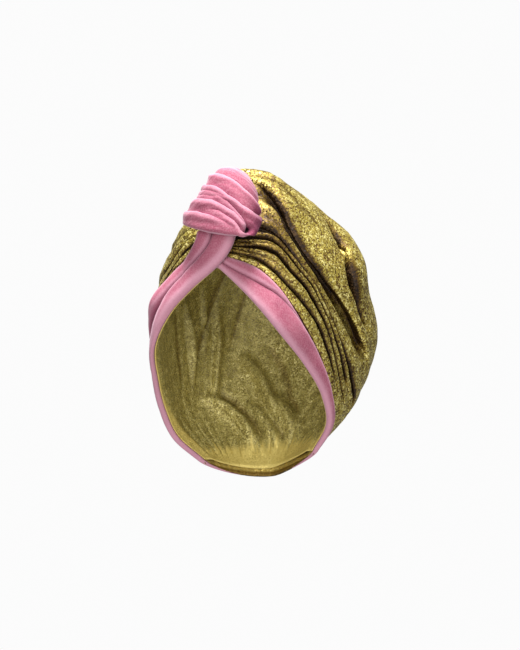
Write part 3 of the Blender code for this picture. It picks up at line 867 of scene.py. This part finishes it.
# Painted sheen: paler pile where the edge mark puts it on rolled edges and borders.
colour = mix_colours(tree, calculate(tree, "MULTIPLY", mark_value(tree, "edge"), 0.4), colour,
                     (0.66, 0.37, 0.45, 1))
# Painted sheen: paler where the surface is seen edge on.
rim = add_node(tree, "ShaderNodeLayerWeight", {"Blend": 0.35}).outputs["Facing"]
rim = step_value(tree, rim, 0.25, 1.0)
colour = mix_colours(tree, rim, colour, (0.64, 0.36, 0.43, 1))
# Painted shade: dark mauve in the creases and near black in the deepest.
crease = mark_value(tree, "crease")
colour = mix_colours(tree, crease, colour, (0.12, 0.012, 0.045, 1))
colour = mix_colours(tree, step_value(tree, crease, 0.8, 1.0), colour, (0.012, 0.003, 0.005, 1))
bump = add_node(tree, "ShaderNodeBump", {"Height": pile.outputs["Fac"], "Strength": 0.25,
                                         "Distance": 0.0006})
feed(tree, shader, {
    "Base Color": colour,
    "Normal": bump.outputs["Normal"],
    "Roughness": 0.95,
    "Sheen Weight": 0.15,
    "Sheen Roughness": 0.35,
    "Sheen Tint": (1.0, 0.80, 0.90, 1),
    "Specular IOR Level": 0.15,
})
for band, node, flat in ((band_left, "band_left", (0.022, 0.25)),
                         (band_right, "band_right", (0.024, 0.30))):
    band.data.materials.append(pink_velvet)
    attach(band, "root")
    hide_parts(node)


# The knot: the velvet strip wound round the gathers and padded, its folds laid one over the
# next, so that each shows a rolled upper edge. They draw together at the wearer's left,
# where the strip is tucked in and stitched.

KNOT_CENTRE = np.array([16.5, -90.5, -28.5])
# It leans back by this many degrees, its front starts this far before the centre, and its
# back reaches this deep into the crown's gathers.
KNOT_TILT = 15.0
KNOT_CORE = 2.0
KNOT_BACK = 16.0
KNOT_BACK_POINTS = 24
SAG_TURN = 25.0
# Rows down the knot: how high the row stands, from which x to which it runs, how far it
# bulges to the front, and how far its left end and its middle are raised. It sags most
# at a turn of SAG_TURN to the wearer's left.
KNOT_COLUMNS = ("place", "rise", "from_x", "to_x", "depth", "tilt", "sag")
KNOT = (
    (0.00, 25.0, 4.0, 13.0, 6.0, 0.0, 0.0),
    (0.07, 24.0, -2.0, 19.0, 16.0, 0.0, 0.0),
    (0.18, 19.0, -10.0, 22.5, 24.0, 0.0, 0.0),
    (0.34, 11.0, -15.0, 27.0, 29.0, 0.0, 0.0),
    (0.50, 2.0, -20.0, 30.0, 31.0, -1.0, -1.0),
    (0.66, -7.0, -26.0, 32.5, 30.5, -1.5, -5.0),
    (0.80, -15.0, -32.5, 33.5, 28.0, -2.5, -9.5),
    (0.91, -22.0, -34.0, 33.0, 24.0, -3.5, -14.5),
    (0.97, -25.5, -33.5, 30.0, 18.5, -4.0, -17.0),
    (1.00, -25.0, -31.0, 28.0, 12.0, -4.0, -13.5),
)
KNOT_GRID = (230, 170)
# Creases across the knot: the turn round it from the wearer's right to the left, the place
# down it, and the depth there.
KNOT_CREASES = (
    ((-90, 0.05, 2.0), (-60, 0.12, 3.0), (-36, 0.24, 3.2), (-24, 0.32, 3.2), (-12, 0.37, 3.2),
     (0, 0.40, 3.2), (12, 0.43, 3.2), (24, 0.46, 3.4), (36, 0.50, 3.6), (48, 0.55, 4.0),
     (60, 0.58, 4.2), (72, 0.62, 4.8), (84, 0.65, 5.5), (90, 0.66, 5.5)),
    ((-90, 0.15, 2.0), (-72, 0.24, 2.0), (-60, 0.33, 2.0), (-48, 0.41, 1.8), (-36, 0.47, 1.8),
     (-24, 0.52, 1.8), (-12, 0.55, 2.2), (0, 0.58, 2.8), (12, 0.62, 3.2), (24, 0.67, 3.4),
     (36, 0.70, 3.6), (48, 0.74, 3.8), (60, 0.76, 4.0), (72, 0.78, 4.2), (90, 0.78, 4.5)),
    ((-72, 0.40, 0.0), (-60, 0.47, 0.9), (-36, 0.57, 1.2), (-12, 0.62, 1.1), (12, 0.67, 0.9),
     (26, 0.71, 0.0)),
    ((-66, 0.50, 0.0), (-50, 0.58, 0.8), (-36, 0.63, 0.9), (-12, 0.67, 0.9), (8, 0.70, 0.0)),
    ((0, 0.66, 0.0), (12, 0.70, 1.0), (24, 0.73, 1.8), (36, 0.78, 2.8), (48, 0.83, 3.2),
     (60, 0.89, 3.2), (70, 0.92, 0.0)),
    ((-90, 0.40, 1.8), (-84, 0.45, 2.0), (-72, 0.53, 2.2), (-60, 0.62, 2.2), (-48, 0.66, 2.2),
     (-36, 0.68, 2.2), (-24, 0.70, 2.4), (-12, 0.72, 2.6), (0, 0.73, 2.8), (12, 0.76, 3.0),
     (24, 0.79, 3.2), (36, 0.82, 3.4), (48, 0.87, 3.4), (60, 0.91, 3.0), (72, 0.94, 0.0)),
    ((-14, 0.80, 0.0), (0, 0.81, 0.5), (12, 0.82, 1.2), (24, 0.85, 2.0), (36, 0.88, 2.4),
     (48, 0.93, 2.6), (60, 0.95, 2.6), (72, 0.97, 0.0)),
    ((-90, 0.62, 1.8), (-84, 0.69, 2.0), (-72, 0.75, 2.0), (-48, 0.81, 2.2), (-36, 0.82, 2.2),
     (-24, 0.83, 2.2), (-12, 0.85, 2.2), (0, 0.86, 2.0), (12, 0.88, 1.6), (24, 0.90, 1.0),
     (36, 0.92, 0.0)),
)
# A crease sinks by this share of its depth, this wide above and below its line. The edge
# below it rolls up and laps over it by shares of its depth, each with a place below the
# line and a width. There the pile gets painted sheen, and the crease's painted shade and
# dark painted line are this wide.
SINK, SINK_ABOVE, SINK_BELOW = 0.75, 6.0, 1.1
ROLL, ROLL_PLACE = 0.42, (3.4, 3.2)
OVERLAP, OVERLAP_PLACE = 0.45, (1.3, 1.2)
ROLL_SHEEN = (2.2, 1.4)
CREASE_SHADE, CREASE_LINE = 3.6, 0.9
# The creases are this much shallower at the wearer's right.
RIGHT_SHALLOW = 0.6
# The tuck where the strip goes in: its turn and place, its size and its depth.
TUCK_TURN, TUCK_PLACE, TUCK_SIZE, TUCK_DEPTH = 66.0, 0.925, 4.0, 7.0
KNOT_WRINKLES = ((0.35, (4, 26), 31), (0.18, (1.8, 9), 32))

table = columns(KNOT_COLUMNS, KNOT)
down = np.linspace(0, 1, KNOT_GRID[0])
turns = np.linspace(-90, 90, KNOT_GRID[1])
rise, from_x, to_x, depth, tilt, sag = (smooth(table["place"], table[name], down)[None, :, None]
                                        for name in KNOT_COLUMNS[1:])
across = np.sin(np.radians(turns))[:, None, None]
front = np.cos(np.radians(turns))[:, None, None]
lean = np.radians(KNOT_TILT)
out = np.array([0.0, -np.cos(lean), np.sin(lean)])
upward = np.array([0.0, np.sin(lean), np.cos(lean)])
sideways = np.array([1.0, 0.0, 0.0])
knot_points = (
    KNOT_CENTRE
    + upward * (rise + tilt * across + sag * np.cos(np.radians(turns - SAG_TURN))[:, None, None])
    + sideways * ((from_x + to_x) / 2 + (to_x - from_x) / 2 * across)
    + out * (KNOT_CORE + depth * front)
)
downward = unit(np.gradient(knot_points, axis=1))
outward = unit(np.cross(np.gradient(knot_points, axis=0), downward))
outward *= np.sign((outward * (out * front + sideways * across)).sum(-1).mean())
steps = np.linalg.norm(np.diff(knot_points, axis=1), axis=-1)
run = np.concatenate([np.zeros((len(turns), 1)), np.cumsum(steps, axis=1)], axis=1)


def below_line(place):
    """How far each point of the knot's cloth lies below a line, given by its place at each turn."""
    return run - np.array([np.interp(spot, down, row) for spot, row in zip(place, run)])[:, None]


heights, slips, marks, knot_sheen_mark = (np.zeros(run.shape) for _ in range(4))
for line in KNOT_CREASES:
    line_turns, line_places, line_depths = zip(*line)
    below = below_line(np.interp(turns, line_turns, line_places))
    deep = np.interp(turns, line_turns, line_depths, left=0, right=0)
    deep = (deep * (1 - RIGHT_SHALLOW * ease(50, 85, -turns)))[:, None]
    sunk = hump(below, 0, np.where(below < 0, SINK_ABOVE, SINK_BELOW))
    heights += deep * (ROLL * hump(below, *ROLL_PLACE) - SINK * sunk)
    slips -= deep * OVERLAP * hump(below, *OVERLAP_PLACE)
    # Painted shade above each crease and a dark painted line along it, and painted sheen on the
    # rolled edge below.
    marks = np.maximum(marks, (deep / 3.2).clip(0, 1) * (
        0.55 * hump(below, 0, CREASE_SHADE) * (below < 0) + 0.9 * hump(below, 0, CREASE_LINE)))
    knot_sheen_mark = np.maximum(knot_sheen_mark, (deep / 3).clip(0, 1) * hump(below, *ROLL_SHEEN))
aside = (turns[:, None] - TUCK_TURN) * 0.5
tuck = np.exp(-(aside**2 + below_line(np.full(turns.shape, TUCK_PLACE))**2) / TUCK_SIZE**2)
heights -= TUCK_DEPTH * tuck
# At the wearer's left the knot gets painted shade from the crown's large folds.
shaded = ease(50, 90, turns)[:, None] * (0.5 * ease(0.2, 0.4, down) + 0.28 * ease(0.5, 0.75, down))
# Painted shade in the tuck as well.
marks = np.maximum(0.8 * marks, np.maximum(1.5 * tuck, shaded)).clip(0, 1)
heights += wrinkles(run, turns[:, None] * 0.55, KNOT_WRINKLES)
fade = ease(0, 0.05, down) * (1 - ease(0.97, 1.0, down))
knot_points += outward * (heights * fade)[..., None] + downward * (slips * fade)[..., None]
# Its back closes the wound front from the last row to the first.
share = np.linspace(0, 1, KNOT_BACK_POINTS + 2)[1:-1, None]
back = knot_points[:, -1:] + (knot_points[:, :1] - knot_points[:, -1:]) * share
inside = -KNOT_BACK * front[..., 0]**0.5 - (back - KNOT_CENTRE) @ out
back += out * inside[..., None] * np.sin(np.pi * share)**0.8
unmarked = ((0, 0), (0, KNOT_BACK_POINTS))
knot = roll_piece("knot_velvet", np.concatenate([knot_points, back], axis=1),
                  {"crease": np.pad(marks, unmarked), "edge": np.pad(knot_sheen_mark, unmarked)})
knot.data.materials.append(pink_velvet)
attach(knot, "root")
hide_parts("knot")


# The studio: a pale floor far below, soft lights and the camera. None of it is part of
# the turban.

FLOOR_HEIGHT = -1.6
FLOOR_SIZE = 12.0
bpy.ops.mesh.primitive_plane_add(size=FLOOR_SIZE, location=(0, 0, FLOOR_HEIGHT))
floor = bpy.context.active_object
floor.name = "floor"
floor_paint, tree, shader = new_material("floor_paint")
feed(tree, shader, {"Base Color": (0.8, 0.8, 0.8, 1), "Roughness": 0.8})
floor.data.materials.append(floor_paint)

# The air is near white behind the turban, and lights it only softly.
world = bpy.data.worlds.new("studio_air")
world.use_nodes = True
tree = world.node_tree
seen = add_node(tree, "ShaderNodeLightPath").outputs["Is Camera Ray"]
air = mix_colours(tree, seen, (0.27, 0.27, 0.28, 1), (0.97, 0.97, 0.97, 1))
feed(tree, tree.nodes["Background"], {"Color": air})
bpy.context.scene.world = world

AIM = Vector((0.01, -0.01, -0.11))
# Each light: its name, place, width in metres and power in watts.
LIGHTS = (
    ("top_light", (0.28, -0.80, 1.15), 0.6, 62.0),
    ("side_light", (1.05, -1.10, -0.35), 0.6, 5.0),
    ("fill_light", (0.10, -1.50, -0.45), 0.8, 11.0),
)
for name, place, width, power in LIGHTS:
    lamp = bpy.data.lights.new(name, "AREA")
    lamp.size = width
    lamp.energy = power
    light = bpy.data.objects.new(name, lamp)
    light.location = place
    light.rotation_euler = (AIM - Vector(place)).to_track_quat("-Z", "Y").to_euler()
    bpy.context.scene.collection.objects.link(light)

# The camera looks up from below, turned to the wearer's left. The aim lies at this pixel
# of the picture.
AZIMUTH, ELEVATION = np.radians(20.0), np.radians(-18.0)
DISTANCE = 1.3
LENS = 83.6
SENSOR = 36.0
PICTURE = (520, 650)
AIM_PIXEL = (251.6, 328.0)
back = Vector((np.sin(AZIMUTH) * np.cos(ELEVATION), -np.cos(AZIMUTH) * np.cos(ELEVATION),
               np.sin(ELEVATION)))
right = Vector((np.cos(AZIMUTH), np.sin(AZIMUTH), 0.0))
up = back.cross(right)
pixels_per_metre = LENS / SENSOR * PICTURE[1] / DISTANCE
aside = right * (AIM_PIXEL[0] - PICTURE[0] / 2) - up * (AIM_PIXEL[1] - PICTURE[1] / 2)
lens = bpy.data.cameras.new("camera")
lens.lens = LENS
lens.sensor_width = SENSOR
camera = bpy.data.objects.new("camera", lens)
camera.matrix_world = Matrix.LocRotScale(
    AIM + back * DISTANCE - aside / pixels_per_metre,
    Matrix((right, up, back)).transposed(),
    None,
)
bpy.context.scene.collection.objects.link(camera)
bpy.context.scene.camera = camera
bpy.context.scene.view_settings.view_transform = "Standard"
